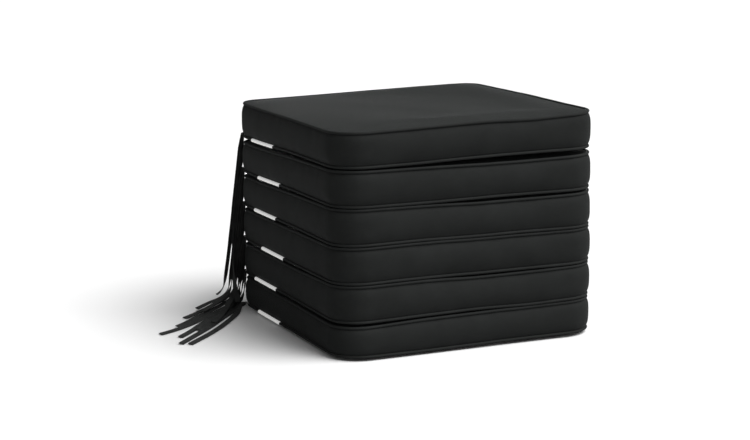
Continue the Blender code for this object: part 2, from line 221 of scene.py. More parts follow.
def mesh_of(name, points, quads, uv=None, material=None):
    """A mesh from (n, 3) points and (m, 4) quads, with a (m, 4, 2) map if one is given."""
    mesh = bpy.data.meshes.new(name)
    mesh.vertices.add(len(points))
    mesh.vertices.foreach_set("co", np.ascontiguousarray(points, np.float32).ravel())
    mesh.loops.add(quads.size)
    mesh.loops.foreach_set("vertex_index", np.ascontiguousarray(quads, np.int32).ravel())
    mesh.polygons.add(len(quads))
    mesh.polygons.foreach_set("loop_start", np.arange(0, quads.size, 4, dtype=np.int32))
    mesh.update(calc_edges=True)
    mesh.validate()
    if uv is not None:
        layer = mesh.uv_layers.new(name="cloth")
        layer.data.foreach_set("uv", np.ascontiguousarray(uv, np.float32).ravel())
    mesh.shade_smooth()
    if material is not None:
        mesh.materials.append(material)
    return mesh


def grid_quads(rows, columns, around=False):
    """Quads of a rows by columns net, as vertex numbers; around joins the last column to the first."""
    row = np.arange(rows - 1)[:, None]
    column = np.arange(columns if around else columns - 1)[None, :]
    ahead = (column + 1) % columns
    return np.stack([row * columns + column, row * columns + ahead, (row + 1) * columns + ahead,
                     (row + 1) * columns + column], -1).reshape(-1, 4)


def grid_map(along, across):
    """The cloth map of the same net: along has one length for each column line, across one for each row."""
    columns = len(along) - 1
    row = np.arange(len(across) - 1)[:, None] + np.zeros((1, columns), int)
    column = np.arange(columns)[None, :] + np.zeros((len(across) - 1, 1), int)
    u = np.stack([along[column], along[column + 1], along[column + 1], along[column]], -1)
    v = np.stack([across[row], across[row], across[row + 1], across[row + 1]], -1)
    return np.stack([u, v], -1).reshape(-1, 4, 2)


def lengths(points, closed=False):
    """How far along a line of points each one is; a closed line gets its whole length last."""
    if closed:
        points = np.vstack([points, points[:1]])
    return np.concatenate([[0], np.cumsum(np.linalg.norm(np.diff(points, axis=0), axis=1))])


def waves(place, seed, longest, shortest, count=7):
    """A sum of sines over a length, of wavelengths between the two given, scaled to about -1 to 1."""
    dice = np.random.default_rng(seed)
    size = np.geomspace(longest, shortest, count) * dice.uniform(0.9, 1.1, count)
    start = dice.uniform(0, 2 * np.pi, count)
    share = dice.uniform(0.5, 1.0, count) / np.sqrt(np.arange(1, count + 1))
    total = np.zeros_like(place)
    for length, phase, part in zip(size, start, share):
        total += part * np.sin(2 * np.pi * place / length + phase)
    return total / share.sum()


def tube(name, path, radius, sides, material, closed):
    """A round tube along a path. Each ring lies across the path: centre + r*(cos a * side + sin a * up)."""
    path = np.asarray(path, float)
    if closed:
        travel = np.roll(path, -1, 0) - np.roll(path, 1, 0)
    else:
        travel = np.gradient(path, axis=0)
    travel /= np.linalg.norm(travel, axis=1, keepdims=True)
    side = np.cross(travel, [0, 0, 1.0])
    side /= np.linalg.norm(side, axis=1, keepdims=True)
    up = np.cross(side, travel)
    angle = np.linspace(0, 2 * np.pi, sides, endpoint=False)
    radius = np.broadcast_to(radius, (len(path),))[:, None, None]
    ring = np.cos(angle)[None, :, None] * side[:, None] + np.sin(angle)[None, :, None] * up[:, None]
    points = (path[:, None] + radius * ring).reshape(-1, 3)
    quads = grid_quads(len(path), sides, around=True)[:, ::-1]
    uv = grid_map(np.linspace(0, 2 * np.pi * float(radius.mean()), sides + 1), lengths(path))[:, ::-1]
    if closed:
        last = (len(path) - 1) * sides + np.arange(sides)
        ahead = (len(path) - 1) * sides + (np.arange(sides) + 1) % sides
        first, second = np.arange(sides), (np.arange(sides) + 1) % sides
        quads = np.vstack([quads, np.stack([first, second, ahead, last], -1)])
        total = lengths(path, True)
        ends = np.array([total[-1], total[-1], total[-2], total[-2]])
        turn = np.linspace(0, 2 * np.pi * float(radius.mean()), sides + 1)
        extra = np.stack([np.stack([turn[:-1], turn[1:], turn[1:], turn[:-1]], -1),
                          np.broadcast_to(ends, (sides, 4))], -1)
        uv = np.concatenate([uv, extra])
    return mesh_of(name, points, quads, uv, material)


# ---------------------------------------------------------------- cloths and trims

class Bench:
    """Lays out a material's nodes: each call makes one node and joins its inputs."""

    def __init__(self, name):
        self.material = bpy.data.materials.new(name)
        self.material.use_nodes = True
        self.tree = self.material.node_tree
        self.shader = self.tree.nodes["Principled BSDF"]

    def node(self, kind, inputs=(), **settings):
        """A node of that kind, with its settings, and inputs as {socket: value or output}."""
        made = self.tree.nodes.new(kind)
        for key, value in settings.items():
            setattr(made, key, value)
        for key, value in dict(inputs).items():
            self.feed(made.inputs[key], value)
        return made

    def feed(self, socket, value):
        """Joins an output to a socket, or sets the socket."""
        if isinstance(value, bpy.types.NodeSocket):
            self.tree.links.new(value, socket)
        else:
            socket.default_value = value

    def sum(self, kind, first, second=0.0, third=0.0):
        """One sum on numbers: kind is the Math node's operation."""
        return self.node("ShaderNodeMath", {0: first, 1: second, 2: third}, operation=kind).outputs[0]

    def ridges(self, place, pitch):
        """Round ridges at that pitch along one number: |sin(pi place / pitch)|."""
        return self.sum("ABSOLUTE", self.sum("SINE", self.sum("MULTIPLY", place, math.pi / pitch)))

    def noise(self, where, scale, detail=3.0, rough=0.5):
        """Soft noise from 0 to 1."""
        return self.node("ShaderNodeTexNoise", {"Vector": where, "Scale": scale, "Detail": detail,
                                                "Roughness": rough}).outputs["Fac"]

    def ramp(self, value, low, high, first, last):
        """A number carried from (low, high) to (first, last), and held outside it."""
        return self.node("ShaderNodeMapRange", {"Value": value, "From Min": low, "From Max": high,
                                                "To Min": first, "To Max": last}).outputs[0]

    def tint(self, share, first, second):
        """A colour between two, by a share from 0 to 1."""
        mix = self.node("ShaderNodeMix", data_type="RGBA")
        for number, value in ((0, share), (6, first), (7, second)):
            self.feed(mix.inputs[number], value)
        return mix.outputs[2]

    def finish(self, colour, roughness, height, depth):
        """Colour, roughness and a bump of that depth in metres go to the shader."""
        self.feed(self.shader.inputs["Base Color"], colour)
        self.feed(self.shader.inputs["Roughness"], roughness)
        bump = self.node("ShaderNodeBump", {"Height": height, "Strength": 1.0, "Distance": depth})
        self.feed(self.shader.inputs["Normal"], bump.outputs["Normal"])
        return self.material


def plain_weave(bench, thread, turn):
    """Height of a plain weave on the cloth map, in threads across and along, and the map in threads.
    Warp shows where floor(u) + floor(v) is even: its height is sin(pi u) * (0.6 + 0.4 sin(pi v)), and
    the weft's is the same with u and v changed over."""
    place = bench.node("ShaderNodeUVMap", uv_map="cloth").outputs["UV"]
    scale = 1.0 / thread
    mapped = bench.node("ShaderNodeMapping", {"Vector": place, "Rotation": (0, 0, turn),
                                              "Scale": (scale, scale, scale)}).outputs["Vector"]
    parts = bench.node("ShaderNodeSeparateXYZ", {0: mapped})
    u, v = parts.outputs[0], parts.outputs[1]
    bow_u = bench.sum("ABSOLUTE", bench.sum("SINE", bench.sum("MULTIPLY", u, math.pi)))
    bow_v = bench.sum("ABSOLUTE", bench.sum("SINE", bench.sum("MULTIPLY", v, math.pi)))
    cells = bench.sum("ADD", bench.sum("FLOOR", u), bench.sum("FLOOR", v))
    weft_up = bench.sum("PINGPONG", cells, 1.0)
    warp = bench.sum("MULTIPLY", bow_u, bench.sum("MULTIPLY_ADD", bow_v, 0.4, 0.6))
    weft = bench.sum("MULTIPLY", bow_v, bench.sum("MULTIPLY_ADD", bow_u, 0.4, 0.6))
    height = bench.node("ShaderNodeMix", {0: weft_up, 2: warp, 3: weft}).outputs[0]
    return height, mapped


def charcoal_cloth(name, dark, light, turn=0.0):
    """Spun charcoal cloth, turned on the bias for piping: a fine plain weave with slubs, a soft mottle,
    a fibre haze and a little sheen, and painted shade between the threads of the weave."""
    thread, depth = 0.0007, 0.00012
    bench = Bench(name)
    height, mapped = plain_weave(bench, thread, turn)
    spot = bench.node("ShaderNodeTexCoord").outputs["Object"]
    slub = bench.node("ShaderNodeMapping", {"Vector": mapped, "Scale": (0.06, 0.8, 1.0)}).outputs["Vector"]
    slubs = bench.noise(slub, 1.0, 2.0)
    mottle = bench.noise(spot, 22.0, 4.0, 0.55)
    fibre = bench.noise(spot, 900.0, 2.0, 0.6)
    # The colour mixes the cloth's own tone, the mottle and the slubs, with painted shade from the weave:
    # lighter on the raised threads, darker between them.
    share = bench.sum("ADD", bench.sum("MULTIPLY", mottle, 0.55), bench.sum("MULTIPLY", slubs, 0.30))
    share = bench.sum("ADD", share, bench.sum("MULTIPLY", height, 0.15))
    colour = bench.tint(bench.ramp(share, 0.30, 0.75, 0.0, 1.0), (*dark, 1), (*light, 1))
    rough = bench.ramp(bench.sum("ADD", fibre, bench.sum("MULTIPLY", mottle, 0.5)), 0.45, 1.0, 0.62, 0.78)
    lift = bench.sum("ADD", bench.sum("MULTIPLY", height, 0.7), bench.sum("MULTIPLY", fibre, 0.5))
    shader = bench.shader
    shader.inputs["Sheen Weight"].default_value = 0.04
    shader.inputs["Sheen Roughness"].default_value = 0.30
    shader.inputs["Sheen Tint"].default_value = (0.75, 0.8, 0.8, 1)
    shader.inputs["Specular IOR Level"].default_value = 0.08
    return bench.finish(colour, rough, lift, depth)


def tie_tape(name):
    """Black woven tape: fine ribs across it, a selvedge along each edge and a worn, uneven black."""
    bench = Bench(name)
    place = bench.node("ShaderNodeUVMap", uv_map="cloth").outputs["UV"]
    parts = bench.node("ShaderNodeSeparateXYZ", {0: place})
    ribs = bench.ridges(parts.outputs[1], 0.0009)
    warp = bench.ridges(parts.outputs[0], 0.0006)
    spot = bench.node("ShaderNodeTexCoord").outputs["Object"]
    worn = bench.noise(spot, 60.0, 4.0, 0.6)
    fibre = bench.noise(spot, 1200.0, 2.0, 0.6)
    colour = bench.tint(bench.ramp(worn, 0.35, 0.7, 0.0, 1.0),
                        (0.024, 0.0248, 0.0243, 1), (0.042, 0.0434, 0.0425, 1))
    lift = bench.sum("ADD", bench.sum("MULTIPLY", bench.sum("MULTIPLY", ribs, warp), 0.7),
                     bench.sum("MULTIPLY", fibre, 0.4))
    bench.shader.inputs["Sheen Weight"].default_value = 0.04
    bench.shader.inputs["Sheen Roughness"].default_value = 0.4
    bench.shader.inputs["Specular IOR Level"].default_value = 0.08
    return bench.finish(colour, bench.ramp(fibre, 0.3, 0.8, 0.62, 0.8), lift, 0.00015)


def white_label(name):
    """Blank white label cloth: a tight satin with a faint crosswise rib and a slightly creased face, painted
    darker in the hollows of its creases as painted shade, and glowing faintly as painted light so that it
    stays white in shade.
    """
    bench = Bench(name)
    place = bench.node("ShaderNodeUVMap", uv_map="cloth").outputs["UV"]
    parts = bench.node("ShaderNodeSeparateXYZ", {0: place})
    rib = bench.ridges(parts.outputs[0], 0.0005)
    spot = bench.node("ShaderNodeTexCoord").outputs["Object"]
    crease = bench.noise(spot, 90.0, 3.0, 0.6)
    # Painted shade: the colour follows the crease relief, darker where the creases sink.
    colour = bench.tint(crease, (0.86, 0.86, 0.84, 1), (0.95, 0.95, 0.94, 1))
    lift = bench.sum("ADD", bench.sum("MULTIPLY", rib, 0.3), crease)
    # Painted light: a faint glow that keeps the label white where the pad's side lies in shade.
    bench.shader.inputs["Emission Color"].default_value = (1.0, 1.0, 0.99, 1)
    bench.shader.inputs["Emission Strength"].default_value = 0.35
    bench.shader.inputs["Sheen Weight"].default_value = 0.1
    return bench.finish(colour, bench.ramp(crease, 0.2, 0.8, 0.42, 0.55), lift, 0.0001)


def zip_plastic(name, colour_low, colour_high, rough):
    """Black moulded coil: nearly even, with a soft gloss that varies a little."""
    bench = Bench(name)
    spot = bench.node("ShaderNodeTexCoord").outputs["Object"]
    grain = bench.noise(spot, 700.0, 2.0)
    colour = bench.tint(grain, (*colour_low, 1), (*colour_high, 1))
    return bench.finish(colour, bench.ramp(grain, 0.3, 0.7, rough - 0.06, rough + 0.08), grain, 0.00004)


def slider_enamel(name):
    """Black enamelled die-cast metal, rubbed at its edges."""
    bench = Bench(name)
    spot = bench.node("ShaderNodeTexCoord").outputs["Object"]
    worn = bench.noise(spot, 400.0, 3.0)
    edge = bench.node("ShaderNodeNewGeometry").outputs["Pointiness"]
    rubbed = bench.sum("MULTIPLY", bench.ramp(edge, 0.52, 0.60, 0.0, 1.0),
                       bench.ramp(worn, 0.4, 0.6, 0.2, 1.0))
    colour = bench.tint(rubbed, (0.014, 0.014, 0.015, 1), (0.16, 0.155, 0.15, 1))
    bench.shader.inputs["Metallic"].default_value = 0.6
    return bench.finish(colour, bench.ramp(worn, 0.3, 0.7, 0.28, 0.42), worn, 0.00003)


def pale_floor():
    """A wide pale floor of smooth painted board, which throws half its light back up at the pads."""
    bench = Bench("pale_floor")
    spot = bench.node("ShaderNodeTexCoord").outputs["Object"]
    grain = bench.noise(spot, 3.0, 3.0)
    seen = bench.node("ShaderNodeLightPath").outputs["Is Camera Ray"]
    board = bench.tint(grain, (0.90, 0.90, 0.90, 1), (0.92, 0.92, 0.92, 1))
    bench.finish(bench.tint(seen, (0.45, 0.45, 0.45, 1), board), 0.85, grain, 0.0001)
    half = 40.0
    points = np.array([[-half, -half, 0], [half, -half, 0], [half, half, 0], [-half, half, 0]])
    ground = mesh_of("pale_floor", points, np.array([[0, 1, 2, 3]]), None, bench.material)
    link("pale_floor", ground)


# ---------------------------------------------------------------- ties

def bearing_way(bearing):
    """The level direction at a bearing in degrees from -X towards -Y."""
    angle = math.radians(bearing)
    return Vector((-math.cos(angle), -math.sin(angle), 0))


def tie_corner():
    """The middle of the back left corner, on the piping's centre line, at floor height."""
    inwards = BACK_RADIUS * (1 - math.sqrt(0.5))
    return Vector((-PAD_WIDTH / 2 + inwards, PAD_DEPTH / 2 - inwards, 0))


def pad_middle(pad):
    """The height of a pad's middle, counting from 0 at the bottom."""
    return HEIGHT / 2 + pad * (HEIGHT + REST_GAP)


def fold_reach():
    """How far from the corner a tie's fold ends, clear of the piping."""
    return PIPING / 2 + CLEARANCE + TIE_THICKNESS / 2 + TIE_FOLD


def tail_route(pad, over):
    """The points that a tail passes through, from its fold to past its tip."""
    seam = pad_middle(pad) - BOXING / 2
    fold = fold_reach()
    sign = 1 if over else -1
    rows = [(fold, ROOT_BEARING, seam + sign * TIE_FOLD)]
    last = (OVER_TAILS if over else UNDER_TAILS)[pad]
    if pad > 0:
        out = HANG_REACH if over else HANG_REACH + UNDER_TAIL_REACH
        drop = 0 if over else TIE_THICKNESS
        rows.append(((fold + out) / 2, ROOT_BEARING, seam + sign * TIE_FOLD - drop))
    depth = HANG_STEP / 2
    while seam - depth > last[0][2] + HANG_STEP / 2:
        share = depth / (PADS * HEIGHT)
        bearing = HANG_BEARINGS[0] + (HANG_BEARINGS[1] - HANG_BEARINGS[0]) * share
        reach = HANG_REACH + HANG_LEAN * max(depth - HANG_STEP / 2, 0)
        if not over:
            reach += UNDER_TAIL_REACH
            bearing += UNDER_TAIL_BEARING * min(1, 2 * share)
        rows.append((reach, bearing, seam - depth))
        depth += HANG_STEP
    rows.extend(last)
    return [tie_corner() + bearing_way(b) * r + Vector((0, 0, z)) for r, b, z in rows]


def smooth_line(points, step):
    """A smooth curve through the points, about one step between its own points."""
    padded = [2 * points[0] - points[1]] + list(points) + [2 * points[-1] - points[-2]]
    line = []
    for before, start, end, after in zip(padded, padded[1:], padded[2:], padded[3:]):
        third = (end - start).length / 3
        leaving = start + (end - before).normalized() * third
        arriving = end - (after - start).normalized() * third
        count = max(1, round(3 * third / step))
        line.extend(interpolate_bezier(start, leaving, arriving, end, count + 1)[:-1])
    return np.array([tuple(p) for p in line + [points[-1]]])


def even_line(line, count, length):
    """That many points, evenly spaced along the first length of a line."""
    gone = lengths(line)
    wanted = np.linspace(0, min(length, gone[-1]), count)
    return np.stack([np.interp(wanted, gone, line[:, axis]) for axis in range(3)], -1)


def tail_path(pad, over):
    """A tail's middle line, from the inner side of its fold at the seam to its tip."""
    seam = pad_middle(pad) - BOXING / 2
    out = bearing_way(ROOT_BEARING)
    fold = tie_corner() + out * fold_reach() + Vector((0, 0, seam))
    turns = [math.radians(v if over else -v) for v in (0, 30, 60)]
    bend = [fold + (Vector((0, 0, math.sin(a))) - out * math.cos(a)) * TIE_FOLD for a in turns]
    line = np.vstack([np.array([tuple(p) for p in bend]), smooth_line(tail_route(pad, over), 0.003)])
    return even_line(line, TAIL_POINTS, TIE_LENGTH + TIE_FOLD)


def tail_sides(path):
    """Across the tape at each point: level, across its travel, or across its bearing where it hangs.
    Where it hangs it is turned by HANG_TWIST about its travel, the same on every tail, so that they lie
    side by side, and on the floor it is tilted by FLOOR_TILT."""
    travel = np.gradient(path, axis=0)
    travel /= np.linalg.norm(travel, axis=1, keepdims=True)
    spoke = path - np.array(tuple(tie_corner()))
    spoke[:, 2] = 0
    spoke /= np.linalg.norm(spoke, axis=1, keepdims=True)
    level = travel * [1, 1, 0]
    facing = spoke * (1 - np.linalg.norm(level, axis=1, keepdims=True)) + level
    side = np.cross([0, 0, 1.0], facing)
    side -= travel * (side * travel).sum(1, keepdims=True)
    side /= np.linalg.norm(side, axis=1, keepdims=True)
    gone = lengths(path)
    ease = np.clip((gone - 0.004) / 0.030, 0, 1) * np.clip((path[:, 2] - 0.020) / 0.035, 0, 1)
    twist = HANG_TWIST * ease ** 2 * (3 - 2 * ease)
    low = np.clip((0.016 - path[:, 2]) / 0.010, 0, 1) * np.clip(gone / 0.020, 0, 1)
    twist -= FLOOR_TILT * low ** 2 * (3 - 2 * low)
    through = np.cross(travel, side)
    side = side * np.cos(twist)[:, None] + through * np.sin(twist)[:, None]
    return travel, side


def tie_tail(pad, over, tape):
    """One tail of a tie: a flat tape with rolled edges, cupped a little, its width wandering slightly.
    Its section is (w cos a, t sin a) with both powers drawn towards a rectangle, carried along the path."""
    name = f"pad_{pad + 1}_tie_{'over' if over else 'under'}_tail"
    path = tail_path(pad, over)
    travel, side = tail_sides(path)
    path[:, 2] += np.clip(TIE_WIDTH / 2 * np.abs(side[:, 2]) + 0.0007 - path[:, 2], 0, None)
    through = np.cross(travel, side)
    seed = 40 + 2 * pad + over
    gone = lengths(path)
    roll = (0.10 * waves(gone, seed, 0.16, 0.05, 4) * np.clip(gone / 0.03, 0, 1)
            * np.clip(path[:, 2] / 0.02, 0.15, 1))
    side, through = (side * np.cos(roll)[:, None] + through * np.sin(roll)[:, None],
                     through * np.cos(roll)[:, None] - side * np.sin(roll)[:, None])
    half = TIE_WIDTH / 2 * (0.97 - 0.04 * (1 + waves(gone, seed + 50, 0.09, 0.02, 5)) / 2)
    angle = np.linspace(0, 2 * np.pi, TAIL_SIDES, endpoint=False)
    flat = np.sign(np.cos(angle)) * np.abs(np.cos(angle)) ** 0.55
    thick = np.sign(np.sin(angle)) * np.abs(np.sin(angle)) ** 0.75 * TIE_THICKNESS / 2
    thick = thick * (1 + 0.25 * (np.abs(flat) > 0.75))
    cup = 0.00035 * flat ** 2 - 0.00012
    points = (path[:, None] + half[:, None, None] * flat[None, :, None] * side[:, None]
              + (thick + cup)[None, :, None] * through[:, None])
    shrink = path[-1] + (points[-1] - path[-1]) * 0.55 + travel[-1] * 0.0004
    start = path[0] + (points[0] - path[0]) * 0.05
    middle = path[-1] + (points[-1] - path[-1]) * 0.02 + travel[-1] * 0.0005
    points = np.concatenate([start[None], points, shrink[None], middle[None]])
    around = np.concatenate([[0], np.cumsum(np.full(TAIL_SIDES, 2 * TIE_WIDTH / TAIL_SIDES))])
    along = np.concatenate([[0], gone, [gone[-1] + 0.0005, gone[-1] + 0.002]])
    quads = grid_quads(len(points), TAIL_SIDES, around=True)
    uv = grid_map(around, along)
    tail = link(name, mesh_of(name, points.reshape(-1, 3), quads, uv, tape))
    close_ends(tail.data)
    body = f"pad_{pad + 1}"
    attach(tail, body)
    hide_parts(f"pad_{pad + 1}_tie")
    return tail


def close_ends(mesh):
    """Shuts the small holes left at a tube's ends, with every face pointing out."""
    builder = bmesh.new()
    builder.from_mesh(mesh)
    bmesh.ops.holes_fill(builder, edges=[e for e in builder.edges if e.is_boundary], sides=40)
    bmesh.ops.recalc_face_normals(builder, faces=builder.faces)
    builder.to_mesh(mesh)
    builder.free()


# ---------------------------------------------------------------- pads

def net_steps():
    """Even steps from -1 to 1 drawn closer together near the ends: half even, half sin(pi t / 2)."""
    even = np.linspace(-1, 1, NET)
    return 0.5 * even + 0.5 * np.sin(even * np.pi / 2)


def panel_plan(offset):
    """x and y of a panel's net, (NET, NET), with its edge at that offset from the piping's line.
    In a corner's square p and q run from 0 to 1; p becomes p sqrt(1 - q^2/2) and q becomes
    q sqrt(1 - p^2/2), which draws the square's two outer sides onto the round corner."""
    half_x, half_y = PAD_WIDTH / 2 + offset, PAD_DEPTH / 2 + offset
    x, y = np.meshgrid(net_steps() * half_x, net_steps() * half_y)
    radius = np.where(y > 0, BACK_RADIUS, FRONT_RADIUS) + offset
    p = np.clip((np.abs(x) - half_x + radius) / radius, 0, 1)
    q = np.clip((np.abs(y) - half_y + radius) / radius, 0, 1)
    new_p, new_q = p * np.sqrt(1 - q * q / 2), q * np.sqrt(1 - p * p / 2)
    return x + np.sign(x) * (new_p - p) * radius, y + np.sign(y) * (new_q - q) * radius


def rim_numbers():
    """The panel net's edge points in order: front left corner, front, right, back and left side."""
    last = NET - 1
    i = np.arange(last)
    return np.concatenate([i, i * NET + last, last * NET + last - i, (last - i) * NET])


def rim_share(x, y):
    """Where round the pad a place lies, as the angle from the middle over a full turn: 0 at the back
    left corner, 0.25 at the front left one and 0.5 at the front right one."""
    angle = np.arctan2(y, x)
    return np.mod((angle - np.pi * 0.75) / (2 * np.pi), 1.0)


def seam_stand(pad, side, x, y):
    """How far the seam nearest a place stands above its even height, in metres: the tables, smoothed
    round the pad, with a slow drift of less than half a millimetre."""
    table = (TOP_SEAMS if side > 0 else BOTTOM_SEAMS)[pad]
    share = rim_share(x, y)
    if side > 0 and pad == PADS - 1:
        behind = LIFTED_BACK
    else:
        behind = (0.5 * table[-1], 0.15 * (table[-1] + table[0]), 0.4 * table[0])
    places = np.array([*SEAM_SHARES, *BEHIND_SHARES])
    values = np.array([*table, *behind]) / 1000
    places = np.concatenate([places - 1, places, places + 1])
    values = np.tile(values, 3)
    fine = np.linspace(-0.2, 1.2, 1401)
    line = np.interp(fine, places, values)
    kernel = np.hanning(71)
    line = np.convolve(np.pad(line, 35, "edge"), kernel / kernel.sum(), "valid")
    drift = 0.0004 * waves(share, 300 + 10 * pad + side, 0.2, 0.04, 6)
    return np.interp(share, fine, line) + drift * np.sin(np.pi * share) ** 2


def plan_sway(pad, x, y):
    """A small wander of the pad's outline in plan, outwards positive, in metres. The front right
    corner is fuller."""
    share = rim_share(x, y)
    corner = 0.0035 * np.exp(-((share - 0.5) / 0.05) ** 2)
    wander = 0.0007 * waves(share, 500 + pad, 0.5, 0.1, 5) * np.sin(np.pi * share) ** 2
    return corner + wander + SIDE_BOW * bow(x, y)


def bow(x, y):
    """1 in the middle of each side and 0 in the corners."""
    near = np.minimum(np.abs(x), np.abs(y)) / (PAD_WIDTH / 2)
    return np.clip(1 - near ** 2, 0, 1)


def outwards(x, y):
    """The level unit direction out of the pad at its edge: from the corner arc's centre, or square
    to the side."""
    half = PAD_WIDTH / 2
    radius = np.where(y > 0, BACK_RADIUS, FRONT_RADIUS)
    a = np.clip(np.abs(x) - half + radius, 0, None)
    b = np.clip(np.abs(y) - half + radius, 0, None)
    size = np.sqrt(a * a + b * b) + 1e-9
    return np.sign(x) * a / size, np.sign(y) * b / size


def seam_line(pad, side, offset):
    """(n, 3) points of a seam round the pad, at that offset from the piping's line."""
    x, y = (v.reshape(-1)[rim_numbers()] for v in panel_plan(offset))
    out_x, out_y = outwards(x, y)
    sway = plan_sway(pad, x, y)
    z = side * BOXING / 2 + seam_stand(pad, side, x, y)
    return np.stack([x + out_x * sway, y + out_y * sway, z + pad_middle(pad)], -1)


def cover_shape(pad, fullness):
    """The closed cover as one net: top panel, bottom panel and the boxing between their edges.
    A panel stands g(1-|s|) g(1-|t|) CROWN above its seam, with g(w) = 1 - exp(-w * 200 mm / 17 mm).
    The boxing runs from seam to seam as sin(a), and stands out by SWELL (1 - |sin a|^4), which
    falls to SWELL_BEHIND on the side with the zip."""
    x, y = panel_plan(-SEAM_TUCK)
    out_x, out_y = outwards(x, y)
    steps = np.abs(net_steps())
    rise = 1 - np.exp(-(1 - steps) * PAD_WIDTH / 2 / 0.017)
    dome = rise[:, None] * rise[None, :]
    edge = np.maximum(steps[:, None], steps[None, :])
    near_edge = np.clip((edge - 0.55) / 0.45, 0, 1)
    near_edge = near_edge ** 2 * (3 - 2 * near_edge)
    sway = plan_sway(pad, x, y) * near_edge
    plan = np.stack([x + out_x * sway, y + out_y * sway], -1)
    panels = []
    for side in (1, -1):
        z = side * BOXING / 2 + seam_stand(pad, side, x, y) * near_edge + side * dome * CROWN * fullness
        panels.append(np.concatenate([plan, z[..., None]], -1).reshape(-1, 3))
    rim = rim_numbers()
    top, bottom = panels[0][rim], panels[1][rim]
    out = np.stack([out_x.reshape(-1)[rim], out_y.reshape(-1)[rim], np.zeros(len(rim))], -1)
    swell = SWELL - (SWELL - SWELL_BEHIND) * np.clip(2 * out[:, 1:2] - 1, 0, 1)
    rows = []
    for turn in np.linspace(np.pi / 2, -np.pi / 2, BAND_ROWS)[1:-1]:
        share = (1 - math.sin(turn)) / 2
        push = (swell * fullness + SEAM_TUCK) * (1 - abs(math.sin(turn)) ** 4)
        rows.append(top * (1 - share) + bottom * share + out * push)
    points = np.concatenate(panels + rows)
    points[:, 2] += pad_middle(pad)
    return points


def cover_faces():
    """Quads and cloth map of the cover's net, and the numbers of the points on its two seams."""
    count = NET * NET
    rim = rim_numbers()
    ring = len(rim)
    panel = grid_quads(NET, NET)
    x, y = panel_plan(-SEAM_TUCK)
    flat = np.stack([x.reshape(-1), y.reshape(-1)], -1)
    quads = [panel, panel[:, ::-1] + count]
    maps = [flat[panel], flat[panel[:, ::-1]]]
    between = [2 * count + row * ring + np.arange(ring) for row in range(BAND_ROWS - 2)]
    lines = [rim] + between + [rim + count]
    along = lengths(flat[rim], True)
    down = BOXING * (1 - np.sin(np.linspace(np.pi / 2, -np.pi / 2, BAND_ROWS))) / 2
    for row, (upper, lower) in enumerate(zip(lines, lines[1:])):
        quads.append(np.stack([np.roll(upper, -1), upper, lower, np.roll(lower, -1)], -1))
        u = np.stack([along[1:], along[:-1], along[:-1], along[1:]], -1)
        v = np.broadcast_to(-np.array([down[row], down[row], down[row + 1], down[row + 1]]), u.shape)
        maps.append(np.stack([u, v], -1))
    return np.concatenate(quads), np.concatenate(maps), np.concatenate([rim, rim + count]), len(panel)


def fill_with_foam(cover, seams, cap):
    """The cover filled out by cloth simulation, held along its seams. No point moves much further
    than cap: a move of length d is kept as cap * tanh(d / cap)."""
    start = np.empty(len(cover.data.vertices) * 3, np.float32)
    cover.data.vertices.foreach_get("co", start)
    start = start.reshape(-1, 3)
    held = cover.vertex_groups.new(name="seams")
    held.add([int(v) for v in seams], 1.0, "REPLACE")
    cloth = cover.modifiers.new("filling", "CLOTH")
    settings = cloth.settings
    settings.quality = 4
    settings.mass = 0.25
    settings.tension_stiffness = settings.compression_stiffness = 20
    settings.shear_stiffness = 8
    settings.bending_stiffness = 0.4
    settings.use_pressure = True
    settings.uniform_pressure_force = FOAM_PRESSURE
    settings.effector_weights.gravity = 0
    settings.vertex_group_mass = "seams"
    cloth.point_cache.frame_start = 1
    cloth.point_cache.frame_end = FOAM_FRAMES
    scene = bpy.context.scene
    for step in range(1, FOAM_FRAMES + 1):
        scene.frame_set(step)
    swelled = cover.evaluated_get(bpy.context.evaluated_depsgraph_get()).to_mesh()
    end = np.empty_like(start)
    swelled.vertices.foreach_get("co", end.reshape(-1))
    cover.modifiers.remove(cloth)
    cover.vertex_groups.remove(held)
    scene.frame_set(1)
    move = end - start
    size = np.linalg.norm(move, axis=1, keepdims=True) + 1e-9
    return start + move / size * cap * np.tanh(size / cap)


def rest_flat(pad, points):
    """Faces that lie on something are eased flat: past 1.2 mm short of the pad's height, z creeps up to it
    as limit - 1.2 mm * exp(-(z - limit + 1.2 mm) / 1.2 mm). The top face of the top pad is left round."""
    middle = pad_middle(pad)
    limit, ease = HEIGHT / 2 - 0.00005, 0.0012
    z = points[:, 2] - middle
    up, down = z > limit - ease, z < -limit + ease
    soft_up = limit - ease * np.exp(-(z - limit + ease) / ease)
    soft_down = -limit + ease * np.exp((z + limit - ease) / ease)
    if pad < PADS - 1:
        z = np.where(up, soft_up, z)
    z = np.where(down, soft_down, z)
    points[:, 2] = z + middle
    return points


def under_zip(pad, points):
    """Behind the zip the cloth is drawn flat: there y is eased up to a limit just inside the zip's
    tape, as limit - ease * exp(-(y - limit + ease) / ease)."""
    x, y, z = points[:, 0], points[:, 1], points[:, 2] - pad_middle(pad)
    window = np.clip((0.172 - np.abs(x)) / 0.015, 0, 1) * np.clip((0.013 - np.abs(z)) / 0.007, 0, 1)
    limit, ease = PAD_DEPTH / 2 + BULGE - 0.0001 + 0.004 * (1 - window), 0.0006
    past = np.clip(y - limit + ease, 0, None)
    points[:, 1] = np.where(y > limit - ease, limit - ease * np.exp(-past / ease), y)
    return points


